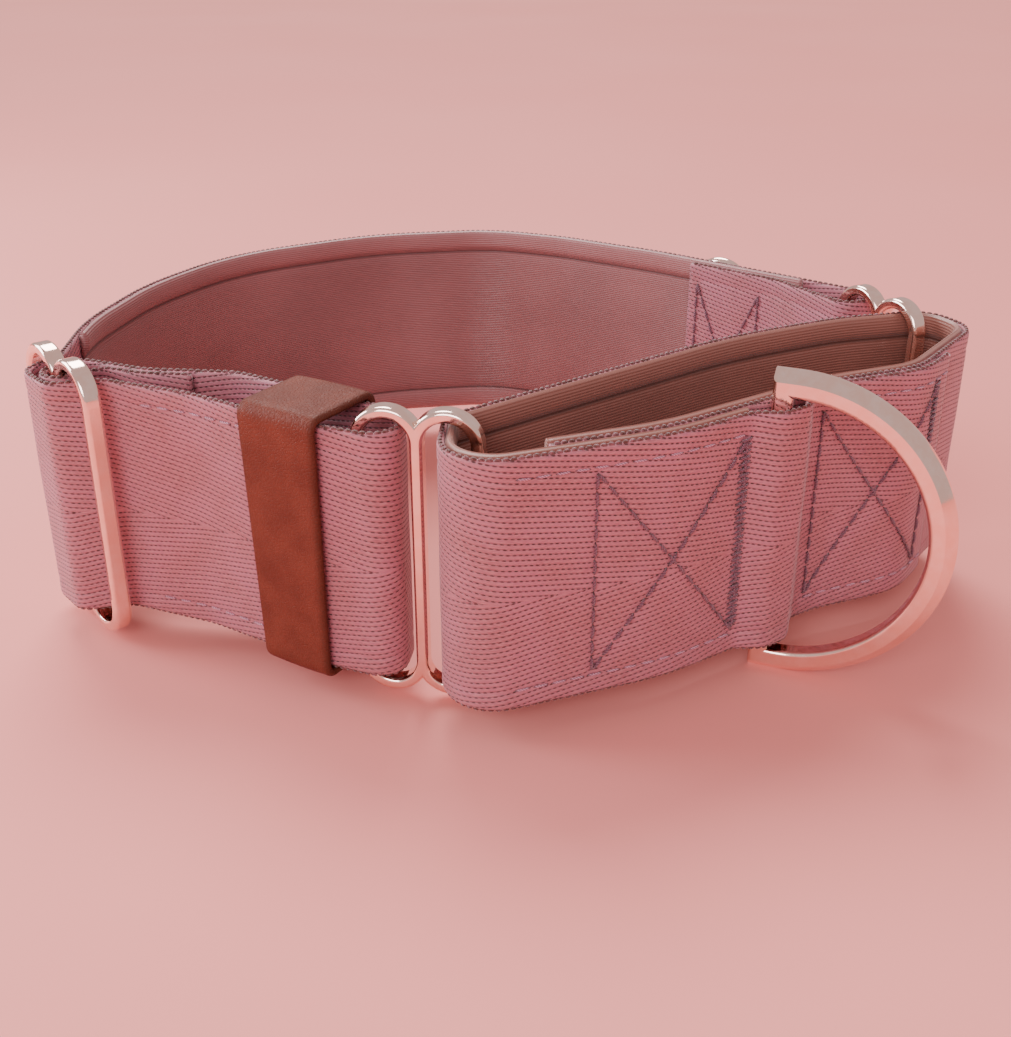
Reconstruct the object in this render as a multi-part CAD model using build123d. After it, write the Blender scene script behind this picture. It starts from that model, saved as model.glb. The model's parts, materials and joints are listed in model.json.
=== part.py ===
"""Martingale collar of 49 mm webbing, standing on edge as it rests on a table.

The neck strap runs from the far ring round the neck to a three-bar slider, on to the centre ring, and back
to the slider's middle bar, where its end is sewn.  A lined control loop of the same webbing passes through
both rings and holds the lead ring in a sewn tunnel.  Every strap is drawn in plan as the middle line of its
webbing, going round to the left, with its lining on the left.  Millimetres, +Z up.
"""

from build123d import *
from math import atan2, cos, radians, sin
import os

# Webbing and lining
WEB = 1.4                   # webbing thickness
HALF = WEB / 2
LOW, HIGH = 5.3, 54.3       # the webbing's two edges
LINING = 0.9                # satin lining, between its rolled edges
ROLL = 1.8                  # lining where its edge is rolled
ROLL_HEIGHT = 4.4
SLIP = 0.1                  # a lining's gap to its webbing
GAP = 0.2                   # between sewn layers

# Cast rings
BAR = 2.3                   # width of a ring's bars, seen from the front
RING_DEPTH = 3.7
RING_INNER_HEIGHT = 53.2
SLIDER_INNER_HEIGHT = 53.8
RING_EDGE = 0.8             # rounding of the cast edges
CENTRE_PITCH = 11.0         # bar to bar
FAR_PITCH = 11.5
SLIDER_PITCH = 13.0

# Places in plan and headings in degrees from +X
CENTRE_RING = (-17.5, -62.0)
CENTRE_HEADING = -10.0
FAR_RING = (81.6, 7.7)
FAR_HEADING = -62.0
SLIDER = (-88.1, -34.0)
SLIDER_HEADING = -50.0
KEEPER = (-40.5, -50.9)
KEEPER_HEADING = -32.0
LEAD_HEADING = -22.7
TAG = (50.3, 45.0)
TAG_HEADING = 140.9

# Lead ring
LEAD_HEIGHT = 62.4
LEAD_LOW = -1.6             # the bow hangs a little lower than the rings
LEAD_REACH = 33.8           # from its bar's middle to its outermost point
LEAD_BAND = 5.0
LEAD_DEPTH = 4.0
LEAD_BAR = 3.8              # width of the straight bar in the tunnel
LEAD_EDGE = 0.9
LEAD_BEVEL = 2.2            # outer front edge of the bow
LEAD_SWEEP = 2.4            # how far the bar's corners reach as it turns
LEAD_AT = 24.3              # where the bar crosses the control loop's front run

# Keeper
LEATHER = 1.5
KEEPER_LENGTH = 17.6
KEEPER_HALF = 7.9           # from its middle to the inner faces
KEEPER_LOW, KEEPER_HIGH = 4.8, 54.8
KEEPER_CORNER = 2.6
KEEPER_FORWARD = 3.0        # from the middle of its straight run, towards the centre ring
LAYER = 6.6                 # from its middle to each layer of webbing
SEAM_LAP = 12.0

# Tag ring and its tab
TAG_WIRE = 1.2              # wire radius
TAG_WIDTH = 14.0
TAG_HEIGHT = 14.5
TAG_LOW = 39.2
TAB = 0.8
TAB_WIDTH = 11.0
TAB_LOW = 24.0
TAG_CLEARANCE = 0.35
TAG_OUT = 3.2               # from the neck strap's middle to the tag ring's plane

# Thread
THREAD = 0.3
THREAD_WIDTH = 0.8
EDGE_ROW = 3.8              # from the webbing's edge to a stitched row
BOX_MARGIN = 4.9


def beside(origin, heading, along, left=0.0):
    """The point that lies along a heading from origin, and then to its left."""
    c, s = cos(radians(heading)), sin(radians(heading))
    return (origin[0] + along * c - left * s, origin[1] + along * s + left * c)


def headings(points):
    """The heading of each run of a route, in radians."""
    return [atan2(b[1] - a[1], b[0] - a[0]) for a, b in zip(points, points[1:])]


def turns(points):
    """How far each inner point turns the route, in radians, positive to the left."""
    runs = headings(points)
    return [(b - a + radians(180)) % radians(360) - radians(180) for a, b in zip(runs, runs[1:])]


def shift(route, left):
    """The same route moved to its left, its arcs kept on the same centres."""
    points = [(x, y) for x, y, _ in route]
    normals = [Vector(-sin(h), cos(h)) for h in headings(points)]
    moved = [Vector(*points[0]) + normals[0] * left]
    for point, a, b in zip(points[1:], normals, normals[1:]):
        moved.append(Vector(*point) + (a + b) * (left / (1 + a.dot(b))))
    moved.append(Vector(*points[-1]) + normals[-1] * left)
    radii = [r - left if t > 0 else r + left for (_, _, r), t in zip(route[1:-1], turns(points))]
    return [(p.X, p.Y, r) for p, r in zip(moved, [0, *radii, 0])]


def path(route):
    """A route as a chain of lines and arcs."""
    points = [(x, y) for x, y, _ in route]
    radii = [r for _, _, r in route[1:-1]]
    return FilletPolyline(*points, radius=radii) if radii else Line(*points)


def strip(route, near, far, low=LOW, high=HIGH):
    """A strap on edge: the band between two shifts of a route, from one height to another."""
    a, b = path(shift(route, near)), path(shift(route, far))
    ends = [Line(a @ 0, b @ 0), Line(a @ 1, b @ 1)]
    face = make_face(Plane.XY.offset(low) * (Curve() + [*a.edges(), *b.edges(), *ends]))
    return extrude(face, amount=high - low, dir=(0, 0, 1))


def trimmed(route, start=None, end=None):
    """A route with a length cut off its first run, or only so much of its last run kept."""
    route = list(route)
    if start is not None:
        heading = headings(route[:2])[0]
        x, y, _ = route[0]
        route[0] = (x + start * cos(heading), y + start * sin(heading), 0)
    if end is not None:
        heading = headings(route[-2:])[0]
        x, y, _ = route[-2]
        route[-1] = (x + end * cos(heading), y + end * sin(heading), 0)
    return route


def lining_of(route):
    """A satin lining on a strap's inner side, thicker along its two rolled edges."""
    satin = strip(route, HALF + SLIP, HALF + LINING)
    for low in (LOW, HIGH - ROLL_HEIGHT):
        satin += strip(route, HALF + SLIP, HALF + ROLL, low, low + ROLL_HEIGHT)
    return satin


def edge_row(routes, middle):
    """A stitched row on a strap's outer side, at one height along each route."""
    low, high = middle - THREAD_WIDTH / 2, middle + THREAD_WIDTH / 2
    return Compound([strip(route, -HALF - THREAD, -HALF, low, high) for route in routes])


def box_stitch(route, start, end, side=-1):
    """A sewn box with a cross in it on one face of a strap, between two distances along the route."""
    near, far = sorted((side * HALF, side * (HALF + THREAD)))
    line = path(route)
    a, b = line @ (start / line.length), line @ (end / line.length)
    plane = Plane(origin=((a + b) / 2 + Vector(0, 0, (LOW + HIGH) / 2)), x_dir=b - a,
                  z_dir=(b - a).cross(Vector(0, 0, 1)))
    w, h = (b - a).length / 2, (HIGH - LOW) / 2 - BOX_MARGIN
    pattern = Sketch()
    for p, q in (((-w, -h), (w, h)), ((-w, h), (w, -h)), ((-w, -h), (-w, h)), ((w, -h), (w, h))):
        seam = Line(p, q)
        turn = Rot(0, 0, seam.tangent_angle_at(0))
        pattern += Pos(*(seam @ 0.5)) * turn * Rectangle(seam.length + THREAD_WIDTH, THREAD_WIDTH)
    return strip(route, near, far) & (plane * extrude(pattern, amount=6, both=True))


def double_ring(at, heading, pitch, inner_height):
    """Two rounded loops side by side that share the bar between them, cast in one piece."""
    height = inner_height + 2 * BAR
    outline = SlotOverall(height, pitch + BAR, rotation=90)
    outline -= SlotOverall(inner_height, pitch - BAR, rotation=90)
    loop = extrude(outline, amount=RING_DEPTH / 2, both=True)
    ends = [loop.faces().sort_by(Axis.Z)[0], loop.faces().sort_by(Axis.Z)[-1]]
    loop = Pos(0, height / 2) * fillet([e for f in ends for e in f.edges()], RING_EDGE)
    body = Pos(-pitch / 2, 0) * loop + Pos(pitch / 2, 0) * loop
    return upright(at, heading) * body


def upright(at, heading, low=0.0):
    """A vertical plane in plan at a point: x along the heading, y up, z to the right of the heading."""
    c, s = cos(radians(heading)), sin(radians(heading))
    return Plane(origin=(*at, low), x_dir=(c, s, 0), z_dir=(s, -c, 0))


def lead_ring(at, heading):
    """The flat D-shaped ring: its straight bar stands in the tunnel, its bow is bevelled in front."""
    half = LEAD_HEIGHT / 2
    bow = LEAD_REACH - half
    outline = Pos(bow, half) * Circle(half) + Pos(bow / 2, half) * Rectangle(bow, LEAD_HEIGHT)
    hole = Pos(bow, half) * Circle(half - LEAD_BAND)
    hole += Pos(bow / 2, half) * Rectangle(bow, LEAD_HEIGHT - 2 * LEAD_BAND)
    outline -= Pos(-half - LEAD_BAR / 2, half) * Rectangle(2 * half, LEAD_HEIGHT)
    outline += Pos(0, half) * Rectangle(LEAD_BAR, LEAD_HEIGHT)
    hole -= Pos(-half + LEAD_BAR / 2, half) * Rectangle(2 * half, LEAD_HEIGHT)
    body = extrude(outline - hole, amount=LEAD_DEPTH / 2, both=True)
    front = body.faces().sort_by(Axis.Z)[-1]
    rim = [e for e in front.outer_wire().edges() if (e @ 0.5).X > 0]
    body = chamfer(rim, LEAD_BEVEL, LEAD_BEVEL * 0.9)
    back, front = body.faces().sort_by(Axis.Z)[0], body.faces().sort_by(Axis.Z)[-1]
    edges = [*back.edges(), *front.inner_wires()[0].edges()]
    edges += [e for e in front.outer_wire().edges() if (e @ 0.5).X < -1]
    return upright(at, heading, LEAD_LOW) * fillet(edges, LEAD_EDGE)


def keeper_band():
    """The leather band round both layers of the neck strap."""
    height = KEEPER_HIGH - KEEPER_LOW
    inner = RectangleRounded(2 * KEEPER_HALF, height, KEEPER_CORNER - LEATHER)
    outer = RectangleRounded(2 * (KEEPER_HALF + LEATHER), height + 2 * LEATHER, KEEPER_CORNER)
    middle = beside(KEEPER, KEEPER_HEADING, KEEPER_FORWARD)
    plane = Plane(origin=(*middle, (KEEPER_LOW + KEEPER_HIGH) / 2),
                  x_dir=(*beside((0, 0), KEEPER_HEADING, 0, 1), 0),
                  z_dir=(*beside((0, 0), KEEPER_HEADING, 1), 0))
    return plane * extrude(outer - inner, amount=KEEPER_LENGTH / 2, both=True)


def keeper_seam():
    """The stitched lap that closes the leather band, on the neck side."""
    inner = beside(KEEPER, KEEPER_HEADING, KEEPER_FORWARD - SEAM_LAP / 2, KEEPER_HALF + LEATHER)
    outer = beside(KEEPER, KEEPER_HEADING, KEEPER_FORWARD + SEAM_LAP / 2, KEEPER_HALF + LEATHER)
    run = [(*inner, 0), (*outer, 0)]
    middle = (LOW + HIGH) / 2
    rows = [(z - THREAD_WIDTH / 2, z + THREAD_WIDTH / 2) for z in (middle - 4, middle + 4)]
    return Compound([strip(run, 0, THREAD, low, high) for low, high in rows])


def tag_plane(out, low):
    """A vertical plane off the neck strap's outer face: x along the strap, y up, z away from the strap."""
    return upright(beside(TAG, TAG_HEADING, 0, -out), TAG_HEADING, low)


def tag_ring():
    """A wire ring in the shape of a D, standing up from its tab."""
    w, h = TAG_WIDTH / 2, TAG_HEIGHT
    corners = [(-w, 0), (w, 0), (w, h), (-w, h)]
    wire = FilletPolyline(*corners, radius=[1.8, 1.8, w - 0.2, w - 0.2], close=True)
    plane = tag_plane(TAG_OUT, TAG_LOW)
    wire = plane * wire
    return sweep(Plane(origin=wire @ 0, z_dir=wire % 0) * Circle(TAG_WIRE), path=wire)


def tag_tab():
    """The short webbing loop sewn on the neck strap that holds the tag ring's straight side."""
    near, far = TAG_WIRE + TAG_CLEARANCE, TAG_WIRE + TAG_CLEARANCE + TAB
    drop = TAG_LOW - TAB_LOW
    loop = Circle(far) + Pos(0, -drop / 2) * Rectangle(2 * far, drop)
    hollow = Circle(near) + Pos(0, -drop / 4) * Rectangle(2 * near, drop / 2)
    section = loop - hollow
    c, s = cos(radians(TAG_HEADING)), sin(radians(TAG_HEADING))
    origin = (*beside(TAG, TAG_HEADING, 0, -TAG_OUT), TAG_LOW)
    plane = Plane(origin=origin, x_dir=(s, -c, 0), z_dir=(-c, -s, 0))
    return plane * extrude(section, amount=TAB_WIDTH / 2, both=True)


def tag_tab_stitching():
    """Two stitched rows across the tab, under the ring."""
    out = TAG_OUT + TAG_WIRE + TAG_CLEARANCE + TAB
    rows = []
    for height in (3.0, 8.5):
        bar = Pos(0, height) * Rectangle(TAB_WIDTH - 2, THREAD_WIDTH)
        rows.append(tag_plane(out, TAB_LOW) * extrude(bar, amount=THREAD))
    return Compound(rows)


# ---- Routes in plan ----

# The neck strap, from its end sewn at the far ring to its end sewn at the slider
NECK = [
    (80.0, 20.8, 10),
    (38.0, 55.0, 100),
    (13.0, 70.8, 60),
    (-6.0, 78.3, 30),
    (-38.0, 72.8, 60),
    (-72.0, 52.0, 55),
    (-86.4, 24.4, 70),
    (-92.3, -3.0, 60),
]
FOLD_END = (44.3, 45.3, 0)
FOLD_IN = [(62.2, 30.2, 12), (74.3, 10.6, 4)]
FOLD_OUT = [(84.2, 15.4, 4)]


def at_slider(along, left):
    """A point in the slider's own frame: along its row of bars, and to the left, towards the neck."""
    return beside(SLIDER, SLIDER_HEADING, along, left)


THROUGH_SLIDER = [
    (*at_slider(-10.0, 4.4), 5),
    (*at_slider(-5.0, -5.2), 3),
    (*at_slider(5.0, -5.2), 3),
    (*at_slider(10.0, 4.4), 4),
]
FRONT = [
    (*beside(KEEPER, KEEPER_HEADING, -19.7, -LAYER), 25),
    (*beside(KEEPER, KEEPER_HEADING, 10.3, -LAYER), 14),
]
CENTRE_FOLD = [
    (-21.7, -67.4, 4.5),
    (-19.9, -54.4, 4.5),
]
BACK = [
    (*beside(KEEPER, KEEPER_HEADING, 13.2, LAYER), 8),
    (*beside(KEEPER, KEEPER_HEADING, -19.7, LAYER), 12),
    (-72.0, -33.2, 12),
]
LAP = 1.7
MIDDLE_FOLD = [
    (*at_slider(-3.5, 6.1), 2.6),
    (*at_slider(-3.5, -3.5), 3.4),
    (*at_slider(3.5, -3.5), 3.4),
    (*at_slider(3.5, 7.6), 2.4),
]
lap = shift([BACK[1], BACK[2], MIDDLE_FOLD[0]], LAP)
SEWN_END = trimmed([lap[1], lap[0]], end=10)
NECK_ROUTE = [FOLD_END, *FOLD_IN, *FOLD_OUT, *NECK, *THROUGH_SLIDER, *FRONT, *CENTRE_FOLD, *BACK, *MIDDLE_FOLD,
              *SEWN_END]

# The control loop, from its covered end inside the front, round to its raw end outside the front
INNER_FRONT = [
    (5.5, -70.3, 0),
    (26.5, -62.4, 60),
    (60.2, -39.0, 30),
    (79.0, -31.3, 18),
]
FRONT_HEADING = 34.8
RIGHT_TURN = [(97.0, -7.0, 8), (91.0, 5.0, 7)]
BACK_RUN = [(69.0, -0.9, 60), (44.0, -13.4, 120)]
LEFT_TURN = [(-12.7, -57.9, 4), (-13.6, -81.5, 9)]
LINED_LAYERS = -(WEB + ROLL + GAP)
BARE_LAYERS = -(WEB + GAP)
lead_base = beside(INNER_FRONT[1], FRONT_HEADING, LEAD_AT)
ROOM = 0.35                 # running clearance round the lead ring's bar
LEAD = beside(lead_base, FRONT_HEADING, 0, -(HALF + ROOM + LEAD_SWEEP))
TUNNEL = -(WEB + 2 * ROOM + 2 * LEAD_SWEEP)
OUTER_LEFT = shift(INNER_FRONT, LINED_LAYERS)[1]
TUNNEL_RUN = [
    (*beside(lead_base, FRONT_HEADING, -7.6, LINED_LAYERS), 3),
    (*beside(lead_base, FRONT_HEADING, -3.0, TUNNEL), 3),
    (*beside(lead_base, FRONT_HEADING, 3.0, TUNNEL), 3),
    (*beside(lead_base, FRONT_HEADING, 9.4, BARE_LAYERS), 3),
]
OUTER_RIGHT = shift([*INNER_FRONT, *RIGHT_TURN], BARE_LAYERS)[2:4]
OUTER_END = (87.0, -23.0, 0)
LOOP_ROUTE = [*INNER_FRONT, *RIGHT_TURN, *BACK_RUN, *LEFT_TURN, OUTER_LEFT, *TUNNEL_RUN, *OUTER_RIGHT,
              OUTER_END]

# What parts of the routes the linings and the stitched rows cover
NECK_LINED = trimmed([*NECK, THROUGH_SLIDER[0]], start=14, end=9)
LOOP_LINED = trimmed([*LOOP_ROUTE[:10], OUTER_LEFT, TUNNEL_RUN[0]], end=17)
OUTER_FRONT = trimmed([LEFT_TURN[1], OUTER_LEFT, TUNNEL_RUN[0]], start=14, end=15)
OUTER_BACK = trimmed([RIGHT_TURN[1], *BACK_RUN, LEFT_TURN[0]], start=14, end=64)
OUTER_SIDE = trimmed([TUNNEL_RUN[3], *OUTER_RIGHT, OUTER_END], start=2.4)
NECK_ROWS = [NECK_LINED, trimmed([THROUGH_SLIDER[3], *FRONT], start=8)]
LOOP_ROWS = [OUTER_FRONT, OUTER_SIDE, OUTER_BACK]
ROW_LOW, ROW_HIGH = LOW + EDGE_ROW, HIGH - EDGE_ROW

SHAPES = {
    "main_webbing": lambda: strip(NECK_ROUTE, -HALF, HALF),
    "main_lining": lambda: lining_of(NECK_LINED),
    "main_edge_stitching_top": lambda: edge_row(NECK_ROWS, ROW_HIGH),
    "main_edge_stitching_bottom": lambda: edge_row(NECK_ROWS, ROW_LOW),
    "ring_end_stitch_box": lambda: box_stitch([FOLD_END, *FOLD_IN], 2.5, 19.5),
    "slider_end_stitching": lambda: box_stitch([*BACK, MIDDLE_FOLD[0]], 38, 47),
    "slider": lambda: double_ring(SLIDER, SLIDER_HEADING, SLIDER_PITCH, SLIDER_INNER_HEIGHT),
    "centre_ring": lambda: double_ring(CENTRE_RING, CENTRE_HEADING, CENTRE_PITCH, RING_INNER_HEIGHT),
    "far_ring": lambda: double_ring(FAR_RING, FAR_HEADING, FAR_PITCH, RING_INNER_HEIGHT),
    "keeper_band": keeper_band,
    "keeper_stitching": keeper_seam,
    "control_webbing": lambda: strip(LOOP_ROUTE, -HALF, HALF),
    "control_lining": lambda: lining_of(LOOP_LINED),
    "control_edge_stitching_top": lambda: edge_row(LOOP_ROWS, ROW_HIGH),
    "control_edge_stitching_bottom": lambda: edge_row(LOOP_ROWS, ROW_LOW),
    "stitch_box_left": lambda: box_stitch([LEFT_TURN[1], OUTER_LEFT, TUNNEL_RUN[0]], 29, 60),
    "stitch_box_right": lambda: box_stitch(OUTER_SIDE, 1, 31),
    "lead_ring": lambda: lead_ring(LEAD, LEAD_HEADING),
    "tag_ring": tag_ring,
    "tag_tab": tag_tab,
    "tag_tab_stitching": tag_tab_stitching,
}


def main():
    """Writes every piece, moved so that the whole stands on z = 0 about its middle."""
    shapes = {name: make() for name, make in SHAPES.items()}
    box = Compound(list(shapes.values())).bounding_box()
    middle = Pos(-(box.min.X + box.max.X) / 2, -(box.min.Y + box.max.Y) / 2, -box.min.Z)
    os.makedirs("parts", exist_ok=True)
    for name, shape in shapes.items():
        export_step(middle * shape, f"parts/{name}.step")


main()
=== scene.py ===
"""The looks of the martingale collar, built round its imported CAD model. Lengths are in metres."""

import json
import math

import bmesh
import bpy
import mathutils
import numpy as np
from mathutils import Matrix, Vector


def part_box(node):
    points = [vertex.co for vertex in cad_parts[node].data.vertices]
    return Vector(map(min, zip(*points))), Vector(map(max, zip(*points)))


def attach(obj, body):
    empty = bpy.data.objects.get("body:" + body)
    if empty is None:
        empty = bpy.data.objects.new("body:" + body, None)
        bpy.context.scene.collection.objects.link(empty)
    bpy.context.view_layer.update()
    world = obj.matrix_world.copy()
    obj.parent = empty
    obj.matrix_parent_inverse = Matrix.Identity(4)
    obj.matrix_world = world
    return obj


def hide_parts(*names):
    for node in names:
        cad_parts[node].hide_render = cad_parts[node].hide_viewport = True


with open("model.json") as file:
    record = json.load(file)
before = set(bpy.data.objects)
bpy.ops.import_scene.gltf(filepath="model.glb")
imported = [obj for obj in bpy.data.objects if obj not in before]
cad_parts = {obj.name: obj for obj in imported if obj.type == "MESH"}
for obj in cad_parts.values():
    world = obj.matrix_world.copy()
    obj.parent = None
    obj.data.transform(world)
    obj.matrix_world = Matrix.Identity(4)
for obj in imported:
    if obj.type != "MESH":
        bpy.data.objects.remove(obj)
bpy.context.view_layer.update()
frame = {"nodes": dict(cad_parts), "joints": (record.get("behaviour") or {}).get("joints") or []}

MM = 0.001
JOINTS = {joint["name"]: joint for joint in frame["joints"]}
chance = np.random.default_rng(7)

# Woven cloth
ROW = 1.02                  # mm between the weave's lines
DASH = 1.1                  # mm between the gaps along a line
SLANT = 0.15                # how far the lines slope either side of the middle
ROW_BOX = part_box("main_edge_stitching_bottom")
EDGE_ROW = (ROW_BOX[0][2] + ROW_BOX[1][2]) / 2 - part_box("main_webbing")[0][2]
LINING_FROM, LINING_PANEL, LINING_ROLL = 0.1 * MM, 0.9 * MM, 1.75 * MM
ROLL_HEIGHT = 4.4 * MM
WEBBING_SPLIT = 0.45        # where the weave turns, as a share of the webbing's height

# Tag tab
TAB_THICKNESS, TAB_WIDTH = 0.8 * MM, 11 * MM

# Keeper
KEEPER_WALL, KEEPER_CORNER, KEEPER_STEP = 1.5 * MM, 2.6 * MM, 0.6 * MM
KEEPER_SWELL = 0.2 * MM     # how far its outer faces swell at the middle
KEEPER_DRAWN = 2.04 * MM    # how far its rear edge is drawn in at the bottom
KEEPER_INNER_SHARE = 0.3    # of that, on the inner side

# Stitches
ROW_PITCH, BOX_PITCH = 3.6 * MM, 3.3 * MM
BEAD_PITCH, BARTACK_PITCH, SEAM_PITCH = 1.35 * MM, 1.15 * MM, 2.6 * MM
BOX_STITCH, ROW_STITCH = 3.1, 2.9       # mm, the length of one stitch


def plan_axis(joint):
    """The plan direction of a joint's axis."""
    axis = np.array(JOINTS[joint]["axis"])[:2]
    return axis / np.linalg.norm(axis)


KEEPER_AHEAD = -plan_axis("keeper_slide")
TAG_AHEAD = plan_axis("tag_ring_swing")


# ---- Straps in plan ----

def bottom_loops(name):
    """The outlines, in order, of the lowest faces of a strip."""
    mesh = frame["nodes"][name].data
    low = min(v.co.z for v in mesh.vertices)
    border = set()
    for face in mesh.polygons:
        points = [mesh.vertices[i].co for i in face.vertices]
        if max(p.z for p in points) > low + 1e-6:
            continue
        keys = [(round(p.x, 6), round(p.y, 6)) for p in points]
        for a, b in zip(keys, keys[1:] + keys[:1]):
            if (b, a) in border:
                border.remove((b, a))
            else:
                border.add((a, b))
    following, loops = dict(border), []
    while following:
        first, point = following.popitem()
        loop = [first]
        while point != first:
            loop.append(point)
            point = following.pop(point)
        loops.append(np.array(loop))
    return loops


def long_sides(loop):
    """The two long sides of a strip's outline, running the same way, and the strip's thickness."""
    ahead = np.roll(loop, -1, axis=0) - loop
    length = np.linalg.norm(ahead, axis=1)
    unit = ahead / length[:, None]
    turn = np.abs(np.sum(np.roll(unit, 1, axis=0) * unit, axis=1))
    a, b = np.flatnonzero((turn < 0.3) & (np.roll(turn, -1) < 0.3))[:2]
    loop = np.roll(loop, -(a + 1), axis=0)
    return loop[:b - a], loop[b - a:][::-1], length[a]


def lengths(line):
    """The distance along a line at each of its points."""
    return np.concatenate([[0], np.cumsum(np.linalg.norm(np.diff(line, axis=0), axis=1))])


def at_values(line, along, values):
    """The points of a line where the growing number along has these values."""
    return np.column_stack([np.interp(values, along, line[:, k]) for k in range(line.shape[1])])


def resampled(line, step):
    """A line's points, evenly spaced."""
    along = lengths(line)
    return at_values(line, along, np.linspace(0, along[-1], round(along[-1] / step) + 1))


def middle_line(one, other):
    """The smooth line halfway between two sides, with more points where it turns."""
    one, other = resampled(one, 0.2 * MM), resampled(other, 0.2 * MM)
    near, line = 0, []
    for point in one:
        window = other[near:near + 40]
        near += int(np.argmin(np.sum((window - point) ** 2, axis=1)))
        line.append((point + other[near]) / 2)
    line = resampled(np.array(line), 0.2 * MM)
    for _ in range(12):
        line[1:-1] = (line[:-2] + line[1:-1] + line[2:]) / 3
    ahead = np.diff(line, axis=0)
    heading = np.unwrap(np.arctan2(ahead[:, 1], ahead[:, 0]))
    turned = np.concatenate([[0, 0], np.cumsum(np.abs(np.diff(heading)))])
    cost = lengths(line) / (1.1 * MM) + turned / math.radians(9)
    return at_values(line, cost, np.linspace(0, cost[-1], round(cost[-1]) + 1))


class Track:
    """A strap's middle line in plan. A place on it is a distance along and a distance to the left."""

    def __init__(self, name, lining):
        near, far, self.thickness = long_sides(bottom_loops(name)[0])
        self.follow(middle_line(near, far))
        if np.mean([left for _, left in self.located(lining)]) < 0:
            self.follow(self.line[::-1])
        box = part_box(name)
        self.low, self.high = box[0][2], box[1][2]

    def follow(self, line):
        self.line, self.along = line, lengths(line)
        ahead = np.gradient(line, axis=0)
        ahead /= np.linalg.norm(ahead, axis=1)[:, None]
        self.left = np.column_stack([-ahead[:, 1], ahead[:, 0]])

    def located(self, name):
        """(along, left) of each vertex of a CAD node."""
        places = []
        for vertex in frame["nodes"][name].data.vertices:
            away = np.array(vertex.co[:2]) - self.line
            i = int(np.argmin(np.sum(away ** 2, axis=1)))
            ahead = np.array([self.left[i, 1], -self.left[i, 0]])
            places.append((self.along[i] + away[i] @ ahead, away[i] @ self.left[i]))
        return places

    def span(self, name):
        """How far along the strap a CAD node starts and ends."""
        places = [along for along, _ in self.located(name)]
        return min(places), max(places)

    def nearest(self, points):
        """How far along the strap a set of plan points starts and ends."""
        found = []
        for point in points:
            i = int(np.argmin(np.sum((point - self.line) ** 2, axis=1)))
            found.append(self.along[i])
        return min(found), max(found)

    def part(self, start, end):
        """The points along the strap between two distances, with both ends."""
        inside = self.along[(self.along > start + 0.2 * MM) & (self.along < end - 0.2 * MM)]
        return np.concatenate([[start], inside, [end]])

    def at(self, along):
        """The plan points and left directions at these distances."""
        line = at_values(self.line, self.along, along)
        left = at_values(self.left, self.along, along)
        return line, left / np.linalg.norm(left, axis=1)[:, None]


# ---- Meshes ----

def mesh_object(name, points, faces, uv, material):
    """A mesh object with a cloth UV map, which holds a place in metres for each vertex."""
    mesh = bpy.data.meshes.new(name)
    mesh.from_pydata([tuple(p) for p in points], [], faces)
    layer = mesh.uv_layers.new(name="cloth")
    corner = np.empty(len(mesh.loops), dtype=np.int32)
    mesh.loops.foreach_get("vertex_index", corner)
    layer.data.foreach_set("uv", np.asarray(uv, dtype=np.float32)[corner].ravel())
    mesh.materials.append(material)
    work = bmesh.new()
    work.from_mesh(mesh)
    bmesh.ops.recalc_face_normals(work, faces=work.faces)
    work.to_mesh(mesh)
    work.free()
    mesh.polygons.foreach_set("use_smooth", [True] * len(mesh.polygons))
    piece = bpy.data.objects.new(name, mesh)
    bpy.context.scene.collection.objects.link(piece)
    return piece


def finished(piece, body, slot, *nodes):
    """Ties a piece to its body and to the CAD nodes it stands for, which it hides; slot is not used."""
    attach(piece, body)
    if nodes:
        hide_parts(*nodes)


def grid_faces(rows, columns):
    """The faces of a closed section carried along rows, with both ends capped."""
    faces = []
    for i in range(rows - 1):
        for j in range(columns):
            a, b = i * columns + j, i * columns + (j + 1) % columns
            faces.append((a, b, b + columns, a + columns))
    faces.append(tuple(range(columns))[::-1])
    faces.append(tuple((rows - 1) * columns + j for j in range(columns)))
    return faces


def wrapped_faces(rows, columns):
    """The faces of a closed section carried right round a ring."""
    faces = []
    for i in range(rows):
        for j in range(columns):
            k, m = (i + 1) % rows, (j + 1) % columns
            faces.append((i * columns + j, i * columns + m, k * columns + m, k * columns + j))
    return faces


def swept(name, track, along, section, material, relief):
    """A closed (left, height) section carried along a strap. relief(along, left, height) moves it left."""
    line, left = track.at(along)
    out = section[None, :, 0] + relief(along[:, None], section[None, :, 0], section[None, :, 1])
    points = np.empty((len(along), len(section), 3))
    points[:, :, :2] = line[:, None, :] + left[:, None, :] * out[:, :, None]
    points[:, :, 2] = section[None, :, 1]
    uv = np.empty((len(along), len(section), 2))
    uv[:, :, 0] = along[:, None]
    uv[:, :, 1] = section[None, :, 1]
    faces = grid_faces(len(along), len(section))
    return mesh_object(name, points.reshape(-1, 3), faces, uv.reshape(-1, 2), material)


def dip(distance, width):
    """A smooth hollow, 1 at its middle."""
    return np.exp(-(distance / width) ** 2)


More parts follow.
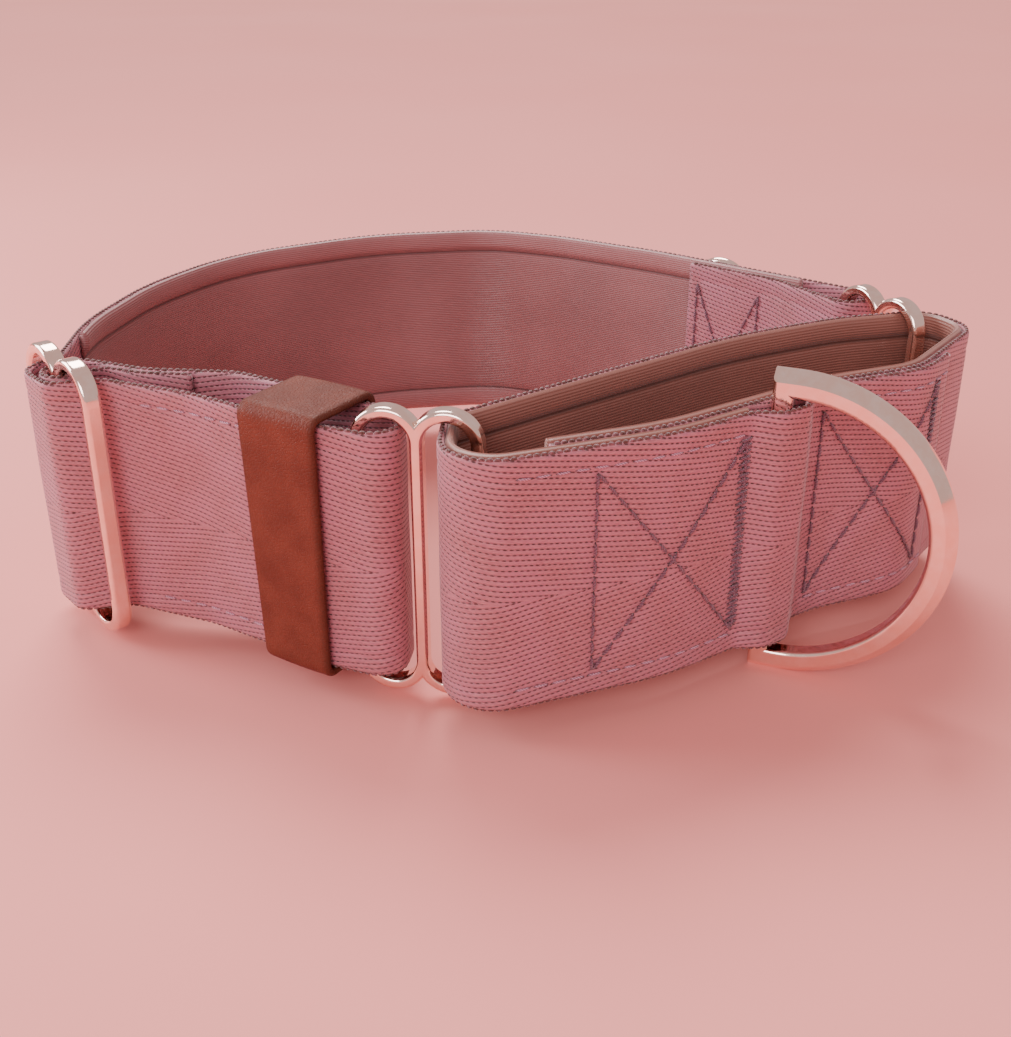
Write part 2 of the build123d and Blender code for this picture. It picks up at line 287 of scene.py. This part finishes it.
def webbing_section(track):
    """The webbing's section: two flat faces and two rounded selvedges."""
    half, low, high = track.thickness / 2, track.low, track.high
    inside = np.arange(low + 1.2 * MM, high - 0.6 * MM, 1.1 * MM)
    rows = [row + d * MM for row in (low + EDGE_ROW, high - EDGE_ROW) for d in (-0.7, -0.35, 0, 0.35, 0.7)]
    heights = np.unique(np.round(np.concatenate([[low + half, high - half], inside, rows]), 6))
    cap = [(-math.cos(a) * half, math.sin(a) * half) for a in np.linspace(0, math.pi, 7)[1:-1]]
    outer = [(-half, z) for z in heights]
    top = [(x, high - half + z) for x, z in cap]
    inner = [(half, z) for z in heights[::-1]]
    bottom = [(-x, low + half - z) for x, z in cap]
    return np.array(outer + top + inner + bottom)


def lining_section(track):
    """The lining's section: a thin panel with a rolled edge along its top and bottom."""
    base, low, high = track.thickness / 2 + LINING_FROM, track.low, track.high
    proud = 0.5 * MM
    inward = np.concatenate([np.linspace(-proud, ROLL_HEIGHT + 0.6 * MM, 22), [6.0 * MM, 7.5 * MM]])
    middle = np.linspace(low + 9 * MM, high - 9 * MM, 16)
    heights = np.concatenate([low + inward, middle, high - inward[::-1]])
    edge = np.minimum(heights - low, high - heights)
    centre, reach = (ROLL_HEIGHT - proud) / 2, (ROLL_HEIGHT + proud) / 2 + 0.15 * MM
    share = np.clip(np.abs(edge - centre) / reach, 0, 1)
    roll = LINING_ROLL * (1 - share ** 2.4) ** (1 / 2.4)
    groove = 0.5 * MM * dip(edge - ROLL_HEIGHT - 0.5 * MM, 0.4 * MM)
    panel = np.where(edge > centre, LINING_PANEL - groove, 0.15 * MM)
    face = [(base + out, z) for out, z in zip(np.maximum(roll, panel), heights)]
    back = [(base, z) for z in np.linspace(high - 0.3 * MM, low + 0.3 * MM, 12)]
    return np.array(face + back)


# ---- Stitches ----

def beads(name, places, length, width, material, lift=0.5):
    """A row of small rounded stitches: places are (point, direction, outward)."""
    points, faces, uv = [], [], []
    along = (-1, -0.8, -0.4, 0, 0.4, 0.8, 1)
    around = 6
    for point, ahead, out in places:
        side = np.cross(ahead, out)
        size = length * (1 + chance.uniform(-0.07, 0.07)) / 2
        tilt = chance.uniform(-0.05, 0.05)
        ahead = ahead + side * tilt
        first = len(points)
        for s in along:
            thick = width / 2 * max(0.25, math.sqrt(1 - abs(s) ** 3))
            heart = point + ahead * s * size + out * width * lift * (1 - 1.1 * abs(s) ** 2.5)
            for k in range(around):
                angle = 2 * math.pi * k / around
                points.append(heart + side * thick * math.cos(angle) + out * thick * math.sin(angle))
                uv.append((s * size, angle * width / 2))
        faces += [tuple(first + i for i in face) for face in grid_faces(len(along), around)]
    return mesh_object(name, points, faces, uv, material)


def on_strap(track, along, height, side, direction):
    """A stitch's place on a strap's outer (side -1) or inner (1) face. direction is (along, up)."""
    line, left = track.at(np.array([along]))
    line, left = line[0], left[0]
    ahead = np.array([left[1], -left[0], 0])
    out = np.array([left[0], left[1], 0]) * side
    point = np.array([*(line + left * side * track.thickness / 2), height])
    run = ahead * direction[0] + np.array([0, 0, 1]) * direction[1]
    return point, run / np.linalg.norm(run), out


def along_row(track, start, end, height):
    """Stitch places along a strap's outer face at one height."""
    count = max(1, round((end - start) / ROW_PITCH))
    distances = [start + (end - start) * (i + 0.5) / count for i in range(count)]
    return [on_strap(track, along, height, -1, (1, 0)) for along in distances]


def across_line(track, start, end, side):
    """Stitch places along a straight line between two (along, height) points of a strap's face."""
    start, end = np.array(start), np.array(end)
    count = max(1, round(np.linalg.norm(end - start) / BOX_PITCH))
    run = (end - start) / np.linalg.norm(end - start)
    points = [start + (end - start) * (i + 0.5) / count for i in range(count)]
    return [on_strap(track, *point, side, run) for point in points]


def box_lines(track, name):
    """The side of the strap that a stitched box is on, and the box's sides and diagonals."""
    start, end = track.span(name)
    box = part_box(name)
    low, high = box[0][2] + 0.4 * MM, box[1][2] - 0.4 * MM
    side = math.copysign(1, np.mean([left for _, left in track.located(name)]))
    start, end = start + 0.4 * MM, end - 0.4 * MM
    a, b, c, d = (start, low), (end, low), (end, high), (start, high)
    lines = [(d, a), (b, c), (a, c), (d, b)]
    return side, lines


def bartack(track, side, bottom, top, share):
    """Short stitches close together across an upright seam, down from its top for a share of its height."""
    count = round((top[1] - bottom[1]) * share / BARTACK_PITCH)
    return [on_strap(track, top[0], top[1] - i * BARTACK_PITCH, side, (1, 0.12)) for i in range(count)]


def row_places(track, name):
    """Stitch places of a stitched row, from each strip of its CAD node."""
    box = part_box(name)
    height = (box[0][2] + box[1][2]) / 2
    places = []
    for loop in bottom_loops(name):
        start, end = track.nearest(loop)
        places += along_row(track, start, end, height)
    return places


def selvedge(track, start, end):
    """Bead places along both woven edges of a strap."""
    places = []
    count = round((end - start) / BEAD_PITCH)
    for height, up in ((track.low, -1), (track.high, 1)):
        for i in range(count):
            along = start + (end - start) * (i + 0.5) / count
            _, ahead, _ = on_strap(track, along, height, -1, (1, 0))
            line, left = track.at(np.array([along]))
            heart = np.array([*(line[0] - left[0] * 0.12 * MM), height - up * 0.1 * MM])
            places.append((heart, ahead, np.array([0, 0, up])))
    return places


# ---- Materials ----

class Look:
    """A node material, written as plain expressions."""

    def __init__(self, name, roughness, **fixed):
        self.material = bpy.data.materials.new(name)
        self.material.use_nodes = True
        self.nodes, self.links = self.material.node_tree.nodes, self.material.node_tree.links
        self.shader = self.nodes["Principled BSDF"]
        self.shader.inputs["Roughness"].default_value = roughness
        for socket, value in fixed.items():
            self.shader.inputs[socket.replace("_", " ")].default_value = value

    def put(self, socket, value):
        if isinstance(value, bpy.types.NodeSocket):
            self.links.new(value, socket)
        else:
            socket.default_value = value

    def math(self, operation, *values):
        node = self.nodes.new("ShaderNodeMath")
        node.operation = operation
        for socket, value in zip(node.inputs, values):
            self.put(socket, value)
        return node.outputs[0]

    def cloth(self):
        """The cloth map's two distances, in millimetres."""
        uv = self.nodes.new("ShaderNodeUVMap")
        uv.uv_map = "cloth"
        split = self.nodes.new("ShaderNodeSeparateXYZ")
        self.links.new(uv.outputs[0], split.inputs[0])
        return [self.math("MULTIPLY", split.outputs[k], 1000) for k in range(2)]

    def vector(self, x, y, z=0.0):
        node = self.nodes.new("ShaderNodeCombineXYZ")
        for socket, value in zip(node.inputs, (x, y, z)):
            self.put(socket, value)
        return node.outputs[0]

    def place(self, scale):
        """The place in the object's own space, scaled."""
        coordinates = self.nodes.new("ShaderNodeTexCoord")
        node = self.nodes.new("ShaderNodeVectorMath")
        node.operation = "SCALE"
        self.links.new(coordinates.outputs["Object"], node.inputs[0])
        node.inputs["Scale"].default_value = scale
        return node.outputs[0]

    def noise(self, vector, scale, detail=2.0, roughness=0.5):
        node = self.nodes.new("ShaderNodeTexNoise")
        self.links.new(vector, node.inputs["Vector"])
        for socket, value in (("Scale", scale), ("Detail", detail), ("Roughness", roughness)):
            node.inputs[socket].default_value = value
        return node.outputs["Fac"]

    def cells(self, vector, scale):
        node = self.nodes.new("ShaderNodeTexVoronoi")
        node.feature = "DISTANCE_TO_EDGE"
        self.links.new(vector, node.inputs["Vector"])
        node.inputs["Scale"].default_value = scale
        return node.outputs["Distance"]

    def ramp(self, value, low, high, to_low=0.0, to_high=1.0):
        """value from low..high, smoothly to to_low..to_high."""
        node = self.nodes.new("ShaderNodeMapRange")
        node.interpolation_type = "SMOOTHSTEP"
        for socket, number in zip(node.inputs, (value, low, high, to_low, to_high)):
            self.put(socket, number)
        return node.outputs[0]

    def mix(self, share, first, second):
        node = self.nodes.new("ShaderNodeMix")
        node.data_type = "RGBA"
        self.put(node.inputs["Factor"], share)
        for socket, value in ((node.inputs["A"], first), (node.inputs["B"], second)):
            self.put(next(s for s in node.inputs if s.name == socket.name and s.type == "RGBA"), value)
        return next(s for s in node.outputs if s.type == "RGBA")

    def colour(self, value):
        self.put(self.shader.inputs["Base Color"], value)

    def bump(self, height, depth, strength=1.0):
        node = self.nodes.new("ShaderNodeBump")
        node.inputs["Distance"].default_value = depth
        node.inputs["Strength"].default_value = strength
        self.links.new(height, node.inputs["Height"])
        self.links.new(node.outputs[0], self.shader.inputs["Normal"])


def tone(colour, factor=1.0):
    """An RGBA colour, made lighter or darker."""
    return (*(min(1.0, c * factor) for c in colour), 1.0)


PINK = (0.37, 0.115, 0.14)
# A dark brown of painted shade, used in the weave's gaps and where each stitch goes into the cloth; the
# selvedge beads mix it in, lightened.
SHADE_BROWN = (0.055, 0.010, 0.007)


def webbing_look(split):
    """Herringbone webbing: lines of small gaps filled with painted shade, sloping one way above split and
    the other below, with painted shade along the groove of each line.
    """
    sheen = dict(Sheen_Weight=0.35, Sheen_Roughness=0.35, Sheen_Tint=(1.0, 0.82, 0.86, 1.0))
    look = Look("webbing_weave", 0.55, **sheen)
    u, v = look.cloth()
    away = look.math("ABSOLUTE", look.math("SUBTRACT", v, split / MM))
    line = look.math("DIVIDE", look.math("ADD", away, look.math("MULTIPLY", u, SLANT)), ROW)
    row, across = look.math("FLOOR", line), look.math("FRACT", line)
    shift = look.math("MULTIPLY", row, 0.43)
    along = look.math("FRACT", look.math("ADD", look.math("DIVIDE", u, DASH), shift))
    wide = look.math("DIVIDE", look.math("SUBTRACT", along, 0.5), 0.33)
    tall = look.math("DIVIDE", look.math("SUBTRACT", across, 0.5), 0.14)
    gap = look.math("ADD", look.math("MULTIPLY", wide, wide), look.math("MULTIPLY", tall, tall))
    # gap: the mask of painted shade in each gap of the weave.
    gap = look.ramp(gap, 0.35, 1.5, 1.0, 0.0)
    # groove: the mask of painted shade along the middle of each line of gaps.
    groove = look.ramp(look.math("ABSOLUTE", look.math("SUBTRACT", across, 0.5)), 0.0, 0.3, 1.0, 0.0)
    fibre = look.noise(look.vector(look.math("MULTIPLY", u, 0.7), look.math("MULTIPLY", v, 7.0)), 1.0, 2.0)
    patch = look.noise(look.vector(u, v), 0.11, 3.0)
    fine = look.noise(look.vector(u, v), 1.6, 2.0)
    base = look.mix(look.ramp(patch, 0.3, 0.7), tone(PINK, 0.9), tone((0.385, 0.125, 0.18), 1.1))
    base = look.mix(look.ramp(fibre, 0.3, 0.75), base, tone((0.51, 0.19, 0.215), 1.0))
    # Painted shade: the pink is darkened along each line's groove.
    base = look.mix(look.math("MULTIPLY", groove, 0.28), base, tone(PINK, 0.45))
    # strength: how dark the painted shade in the gaps is, varying with noise.
    strength = look.ramp(fine, 0.2, 0.7, 0.62, 0.98)
    look.colour(look.mix(look.math("MULTIPLY", gap, strength), base, tone(SHADE_BROWN)))
    ridge = look.math("SUBTRACT", 1.0, look.math("ADD", look.math("MULTIPLY", groove, 0.45), gap))
    look.bump(look.math("ADD", ridge, look.math("MULTIPLY", fibre, 0.35)), 0.16 * MM)
    return look.material


def bead_look():
    """The webbing's selvedge: pink yarn beads."""
    look = Look("selvedge_yarn", 0.6, Sheen_Weight=0.3)
    u, v = look.cloth()
    twist = look.math("SINE", look.math("ADD", look.math("MULTIPLY", u, 9), look.math("MULTIPLY", v, 6)))
    share = look.ramp(look.noise(look.place(1000), 0.9), 0.42, 0.72)
    # Noise patches of the shade brown, lightened, are mixed into the pink beads.
    look.colour(look.mix(share, tone(SHADE_BROWN, 1.8), tone(PINK, 0.7)))
    look.bump(twist, 0.05 * MM)
    return look.material


def lining_look(name, colour, pitch, depth):
    """Satin lining with fine ribs along it, painted with shade striped along each rib, and painted shade in
    the groove under each rolled edge.
    """
    look = Look(name, 0.4, Sheen_Weight=0.2, Sheen_Roughness=0.4, Specular_IOR_Level=0.45)
    u, v = look.cloth()
    edge = look.math("ABSOLUTE", look.math("SUBTRACT", v, (main.low + main.high) / 2 / MM))
    warp = look.noise(look.vector(u, v), 0.12, 2.0)
    rib = look.math("SINE", look.math("ADD", look.math("MULTIPLY", v, 2 * math.pi / pitch), warp))
    fibre = look.noise(look.vector(look.math("MULTIPLY", u, 0.35), look.math("MULTIPLY", v, 5.0)), 1.0, 2.0)
    cloud = look.noise(look.vector(u, v), 0.035, 3.0)
    base = look.mix(look.ramp(cloud, 0.3, 0.7), tone(colour, 0.88), tone(colour, 1.12))
    # Painted shade striped along the ribs; depth is how dark it gets.
    base = look.mix(look.ramp(rib, -1.0, 1.0, 0.0, depth), base, tone(colour, 0.5))
    base = look.mix(look.ramp(fibre, 0.4, 0.8, 0.0, 0.25), base, tone(colour, 1.5))
    base = look.mix(look.ramp(edge, 18.9, 20.0, 0.0, 0.55), base, tone(colour, 1.35))
    # groove: the mask of painted shade in the groove under each rolled edge.
    groove = look.ramp(look.math("ABSOLUTE", look.math("SUBTRACT", edge, 19.5)), 0.15, 0.5, 0.75, 0.0)
    look.colour(look.mix(groove, base, tone(colour, 0.3)))
    look.bump(look.math("ADD", rib, look.math("MULTIPLY", fibre, 0.8)), 0.05 * MM)
    return look.material


def thread_look(name, colour, length):
    """Sewing thread, with its plies twisted round it, painted with light and shade along the twist, and
    painted shade where each stitch goes into the cloth.
    """
    look = Look(name, 0.5, Sheen_Weight=0.3, Sheen_Roughness=0.4)
    u, v = look.cloth()
    twist = look.math("SINE", look.math("ADD", look.math("MULTIPLY", u, 11), look.math("MULTIPLY", v, 8)))
    # Painted light and shade: a lighter and a darker copy of the thread colour follow the twist of the
    # plies.
    base = look.mix(look.ramp(twist, -1.0, 1.0), tone(colour, 0.7), tone(colour, 1.2))
    # end: the mask of painted shade where each stitch goes into the cloth.
    end = look.ramp(look.math("ABSOLUTE", u), 0.3 * length, 0.5 * length, 0.0, 0.9)
    look.colour(look.mix(end, base, tone(SHADE_BROWN)))
    look.bump(twist, 0.08 * MM)
    return look.material


def leather_look():
    """Smooth chestnut leather with a fine grain, burnished darker at its cut edges."""
    look = Look("leather_grain", 0.45, Coat_Weight=0.03, Coat_Roughness=0.35, Specular_IOR_Level=0.18)
    u, v = look.cloth()
    place = look.vector(u, v)
    grain = look.cells(place, 1.5)
    fine = look.noise(place, 3.2, 3.0)
    cloud = look.noise(place, 0.13, 4.0, 0.6)
    base = look.mix(look.ramp(cloud, 0.3, 0.72), tone((0.125, 0.026, 0.015)), tone((0.175, 0.040, 0.023)))
    base = look.mix(look.ramp(grain, 0.0, 0.12, 0.35, 0.0), base, tone((0.10, 0.025, 0.014)))
    edge = look.ramp(look.math("ABSOLUTE", v), 7.0, 8.9)
    look.colour(look.mix(look.math("MULTIPLY", edge, 0.65), base, tone((0.07, 0.018, 0.010))))
    look.put(look.shader.inputs["Roughness"], look.ramp(fine, 0.3, 0.7, 0.45, 0.62))
    look.bump(look.math("ADD", look.ramp(grain, 0.0, 0.2), look.math("MULTIPLY", fine, 0.8)), 0.06 * MM)
    return look.material


def metal_look():
    """Polished rose-gold plating with faint wear."""
    look = Look("rose_gold_plating", 0.16, Metallic=1.0)
    place = look.place(1000)
    wear = look.noise(place, 0.35, 4.0, 0.6)
    fine = look.noise(place, 2.5, 2.0)
    look.colour(look.mix(look.ramp(wear, 0.35, 0.7), tone((0.96, 0.68, 0.57)), tone((0.98, 0.76, 0.67))))
    look.put(look.shader.inputs["Roughness"], look.ramp(wear, 0.3, 0.75, 0.08, 0.15))
    look.bump(fine, 0.01 * MM, 0.4)
    return look.material


def floor_look():
    """A plain pale floor with a soft unevenness."""
    look = Look("floor_pink", 0.8)
    cloud = look.noise(look.place(1), 3.0, 2.0)
    look.colour(look.mix(look.ramp(cloud, 0.3, 0.7), tone((0.87, 0.275, 0.245)), tone((0.89, 0.295, 0.265))))
    return look.material


# ---- Pieces ----

def webbing(name, track, body, puckers):
    """A woven strap, hollowed along its stitched rows and pulled in along the lines of its boxes."""
    section = webbing_section(track)
    along = track.part(0, track.along[-1])
    rows = (track.low + EDGE_ROW, track.high - EDGE_ROW)

    def relief(u, left, z):
        hollow = sum(0.14 * MM * dip(z - row, 0.5 * MM) for row in rows) + 0 * u
        wave = 0.05 * MM * np.sin(u / (9 * MM) + 3 * np.sin(z / (11 * MM)))
        moved = np.where(left < 0, hollow, -hollow) + wave
        for side, start, end in puckers:
            a, b = np.array(start), np.array(end)
            run = (b - a) / np.linalg.norm(b - a)
            t = np.clip((u - a[0]) * run[0] + (z - a[1]) * run[1], 0, np.linalg.norm(b - a))
            gap = np.hypot(u - a[0] - t * run[0], z - a[1] - t * run[1])
            moved = moved - side * np.where(left * side > 0, 0.2 * MM * dip(gap, 0.9 * MM), 0)
        return moved

    piece = swept(name, track, along, section, WEBBING, relief)
    finished(piece, body, "webbing", name.replace("cloth", "webbing"))


def lining(name, track, body, node, look):
    """A satin lining with rolled edges on a strap's inner face."""
    start, end = track.span(node)
    section = lining_section(track)

    def relief(u, left, z):
        inner = left > track.thickness / 2 + LINING_FROM + 0.2 * MM
        wave = 0.05 * MM * np.sin(u / (13 * MM) + 2 * np.sin(z / (17 * MM)))
        return np.where(inner, wave, 0)

    piece = swept(name, track, track.part(start, end), section, look, relief)
    finished(piece, body, "lining", node)


def plan_size(node, *directions):
    """The middle and half the size of a CAD node along each of these plan directions."""
    plan = np.array([v.co[:2] for v in frame["nodes"][node].data.vertices])
    reaches = [plan @ direction for direction in directions]
    return [((reach.max() + reach.min()) / 2, np.ptp(reach) / 2) for reach in reaches]


def flat_profile(half, edge, count, turns):
    """The closed section of a flat strip, whose two edges are rounded with this radius."""
    face = np.linspace(-half, half, count)
    turn = np.linspace(math.pi / 2, -math.pi / 2, turns)[1:-1]
    profile = [(x, edge) for x in face]
    profile += [(half + edge * math.cos(t), edge * math.sin(t)) for t in turn]
    profile += [(x, -edge) for x in face[::-1]]
    profile += [(-half - edge * math.cos(t), -edge * math.sin(t)) for t in turn]
    return profile


def rounded_ring(half_w, half_h, radius):
    """The points of a rounded rectangle about the origin, counterclockwise."""
    points = []
    for k, (x, y) in enumerate(((1, 1), (-1, 1), (-1, -1), (1, -1))):
        heart = np.array([x * (half_w - radius), y * (half_h - radius)])
        for angle in np.linspace(0, math.pi / 2, 7) + k * math.pi / 2:
            points.append(heart + radius * np.array([math.cos(angle), math.sin(angle)]))
    return np.array(points)


def closed(ring):
    """A ring's points, with the first one again at the end."""
    return np.vstack([ring, ring[:1]])


def keeper(body):
    """The leather band: its rear edge is drawn in towards the bottom, most of all on the outer side."""
    side = np.array([KEEPER_AHEAD[1], -KEEPER_AHEAD[0]])
    (middle_a, half_a), (middle_s, half_s) = plan_size("keeper_band", KEEPER_AHEAD, side)
    low, high = (corner[2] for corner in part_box("keeper_band"))
    edge = KEEPER_WALL / 2
    half_w, half_h = half_s - edge, (high - low) / 2 - edge
    ring = rounded_ring(half_w, half_h, KEEPER_CORNER - edge)
    ring = np.roll(ring, -(len(ring) // 2), axis=0)
    ring = resampled(closed(ring), KEEPER_STEP)[:-1]
    round_it = lengths(closed(ring))[:-1]
    ahead = np.roll(ring, -1, axis=0) - np.roll(ring, 1, axis=0)
    ahead /= np.linalg.norm(ahead, axis=1)[:, None]
    outward = np.column_stack([ahead[:, 1], -ahead[:, 0]])
    profile = flat_profile(half_a - edge, edge, 15, 7)
    points, uv = [], []
    for (w, h), (out_w, out_h), round_at in zip(ring, outward, round_it):
        share = 1 if w > 0 else KEEPER_INNER_SHARE
        drawn = KEEPER_DRAWN * (1 - h / half_h) / 2 * share
        for x, y in profile:
            moved = x + drawn * (1 - x / half_a) / 2
            swell = KEEPER_SWELL * (1 - (x / half_a) ** 2) if y > 0 else 0
            plan_at = KEEPER_AHEAD * (middle_a + moved) + side * (middle_s + w + out_w * (y + swell))
            points.append((*plan_at, (low + high) / 2 + h + out_h * (y + swell)))
            uv.append((round_at, moved))
    faces = wrapped_faces(len(ring), len(profile))
    piece = mesh_object("keeper_leather", points, faces, uv, LEATHER)
    finished(piece, body, "leather", "keeper_band")


def node_stitches(name, node, body, ahead, out):
    """Each straight row of a CAD node of stitches becomes a line of separate stitches."""
    points = np.array([v.co[:] for v in frame["nodes"][node].data.vertices])
    heights = np.unique(np.round(points[:, 2], 5))
    rows = np.split(heights, np.flatnonzero(np.diff(heights) > 1.5 * MM) + 1)
    run = np.array([*ahead, 0.0])
    places = []
    for row in rows:
        inside = points[(points[:, 2] > row[0] - 1e-5) & (points[:, 2] < row[-1] + 1e-5)]
        centre = inside.mean(axis=0)
        reach = np.ptp((inside - centre) @ run)
        count = max(2, round(reach / SEAM_PITCH))
        for i in range(count):
            places.append((centre + run * reach * ((i + 0.5) / count - 0.5), run, out))
    piece = beads(name, places, 2.2 * MM, 0.6 * MM, THREAD, lift=0.25)
    finished(piece, body, "thread", node)


main = Track("main_webbing", "main_lining")
control = Track("control_webbing", "control_lining")
WEBBING = webbing_look(main.low + (main.high - main.low) * WEBBING_SPLIT)
BEADS = bead_look()
THREAD = thread_look("mauve_thread", (0.20, 0.075, 0.11), BOX_STITCH)
PALE_THREAD = thread_look("pale_thread", (0.56, 0.24, 0.33), ROW_STITCH)
LEATHER, METAL = leather_look(), metal_look()
# The last number of each lining is how dark its painted rib shade gets.
SATIN = lining_look("satin_lining", (0.29, 0.115, 0.115), 0.5, 0.2)
RIBBED = lining_look("ribbed_lining", (0.235, 0.09, 0.07), 0.6, 0.3)

BOXES = {
    "stitch_box_left": (control, "control_loop"),
    "stitch_box_right": (control, "control_loop"),
    "ring_end_stitch_box": (main, "main_strap"),
    "slider_end_stitching": (main, "main_strap"),
}
BARTACKS = {"stitch_box_left": 1.0, "stitch_box_right": 0.4}    # the share of the last side, from the top
pulled = {id(main): [], id(control): []}
for node, (track, body) in BOXES.items():
    side, lines = box_lines(track, node)
    pulled[id(track)] += [(side, *line) for line in lines]
    places = [place for line in lines for place in across_line(track, *line, side)]
    if node in BARTACKS:
        places += bartack(track, side, *lines[1], BARTACKS[node])
    places = [(point - out * 0.1 * MM, run, out) for point, run, out in places]
    piece = beads(f"{node}_thread", places, BOX_STITCH * MM, 0.62 * MM, THREAD)
    finished(piece, body, "thread", node)

webbing("main_cloth", main, "main_strap", pulled[id(main)])
webbing("control_cloth", control, "control_loop", pulled[id(control)])
lining("main_satin", main, "main_strap", "main_lining", SATIN)
lining("control_satin", control, "control_loop", "control_lining", RIBBED)

for track, body, prefix in ((main, "main_strap", "main"), (control, "control_loop", "control")):
    for edge in ("top", "bottom"):
        node = f"{prefix}_edge_stitching_{edge}"
        places = [(point - out * 0.14 * MM, run, out) for point, run, out in row_places(track, node)]
        piece = beads(f"{node}_thread", places, ROW_STITCH * MM, 0.5 * MM, PALE_THREAD, lift=0.25)
        finished(piece, body, "pale_thread", node)
    edge_beads = beads(f"{prefix}_selvedge", selvedge(track, 0.6 * MM, track.along[-1] - 0.6 * MM),
                       1.3 * MM, 0.8 * MM, BEADS, lift=0.1)
    finished(edge_beads, body, "webbing")

keeper("keeper")

keeper_out = np.array([-KEEPER_AHEAD[1], KEEPER_AHEAD[0], 0.0])
tag_out = np.array([TAG_AHEAD[1], -TAG_AHEAD[0], 0.0])
node_stitches("keeper_seam_thread", "keeper_stitching", "keeper", KEEPER_AHEAD, keeper_out)
node_stitches("tag_tab_thread", "tag_tab_stitching", "main_strap", TAG_AHEAD, tag_out)


def tag_line(radius, low, bend):
    """The tab's middle line, as (outward, height): up behind the ring, over its bar and down in front."""
    line = [(-radius, low + 0.3 * MM), (-radius, low + 8 * MM), (-radius, bend)]
    for angle in np.linspace(math.pi, 0, 13)[1:-1]:
        line.append((radius * math.cos(angle), bend + radius * math.sin(angle)))
    line += [(radius, bend), (radius * 0.9, bend - 5 * MM), (radius * 0.6, low + 8 * MM)]
    line.append((-radius + 2.5 * MM, low + 0.4 * MM))
    line = np.array(line)
    along = lengths(line)
    line = at_values(line, along, np.linspace(0, along[-1], 60))
    for _ in range(2):
        line[1:-1] = (line[:-2] + line[1:-1] + line[2:]) / 3
    return line


def tag_tab(body):
    """The short webbing loop that holds the tag ring."""
    out = np.array([TAG_AHEAD[1], -TAG_AHEAD[0]])
    (middle_a, half_a), (middle_o, half_o) = plan_size("tag_tab", TAG_AHEAD, out)
    low, high = (corner[2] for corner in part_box("tag_tab"))
    edge = TAB_THICKNESS / 2
    line = tag_line(half_o - edge, low, high - half_o)
    along = lengths(line)
    ahead = np.gradient(line, axis=0)
    ahead /= np.linalg.norm(ahead, axis=1)[:, None]
    profile = flat_profile(half_a - edge, edge, 9, 5)
    points, uv = [], []
    for (o, z), (ahead_o, ahead_z), u in zip(line, ahead, along):
        for x, y in profile:
            plan_at = TAG_AHEAD * (middle_a + x) + out * (middle_o + o - ahead_z * y)
            points.append((*plan_at, z + ahead_o * y))
            uv.append((u, x + 0.02))
    piece = mesh_object("tag_tab_cloth", points, grid_faces(len(line), len(profile)), uv, WEBBING)
    finished(piece, body, "webbing", "tag_tab")


tag_tab("main_strap")

for name in ("slider", "centre_ring", "far_ring", "lead_ring", "tag_ring"):
    node = frame["nodes"][name]
    node.data.materials.clear()
    node.data.materials.append(METAL)


# ---- Stage ----

def area_light(name, at, aim, size, power, colour):
    light = bpy.data.lights.new(name, "AREA")
    light.shape, light.size, light.size_y = "RECTANGLE", *size
    light.energy, light.color = power, colour
    lamp = bpy.data.objects.new(name, light)
    bpy.context.scene.collection.objects.link(lamp)
    lamp.location = at
    direction = mathutils.Vector(aim) - mathutils.Vector(at)
    lamp.rotation_euler = direction.to_track_quat("-Z", "Y").to_euler()


floor_mesh = bpy.data.meshes.new("floor")
floor_mesh.from_pydata([(-20, -20, 0), (20, -20, 0), (20, 20, 0), (-20, 20, 0)], [], [(0, 1, 2, 3)])
floor_mesh.materials.append(floor_look())
floor = bpy.data.objects.new("floor", floor_mesh)
bpy.context.scene.collection.objects.link(floor)

sun = bpy.data.lights.new("sun", "SUN")
sun.energy, sun.angle, sun.color = 3.1, math.radians(30), (1.0, 0.95, 0.93)
high_sun = bpy.data.objects.new("sun", sun)
high_sun.rotation_euler = (math.radians(-38), math.radians(-12), 0)
bpy.context.scene.collection.objects.link(high_sun)
area_light("front_fill", (-0.7, -2.2, 1.3), (0, 0, 0.02), (1.6, 1.2), 44, (1.0, 0.93, 0.96))
area_light("left_rim", (-0.6, 0.1, 0.3), (-0.06, 0, 0.03), (0.35, 0.35), 4.0, (0.93, 0.95, 1.0))

world = bpy.data.worlds.new("studio")
bpy.context.scene.world = world
world.use_nodes = True
world.node_tree.nodes["Background"].inputs[0].default_value = (1.0, 0.80, 0.79, 1)
world.node_tree.nodes["Background"].inputs[1].default_value = 0.66

camera = bpy.data.cameras.new("camera")
camera.lens, camera.sensor_width = 45.06, 36
viewer = bpy.data.objects.new("camera", camera)
bpy.context.scene.collection.objects.link(viewer)
viewer.location = (-0.00103, -0.27221, 0.1411)
viewer.rotation_euler = (math.radians(90 - 26.19), 0, 0)
bpy.context.scene.camera = viewer
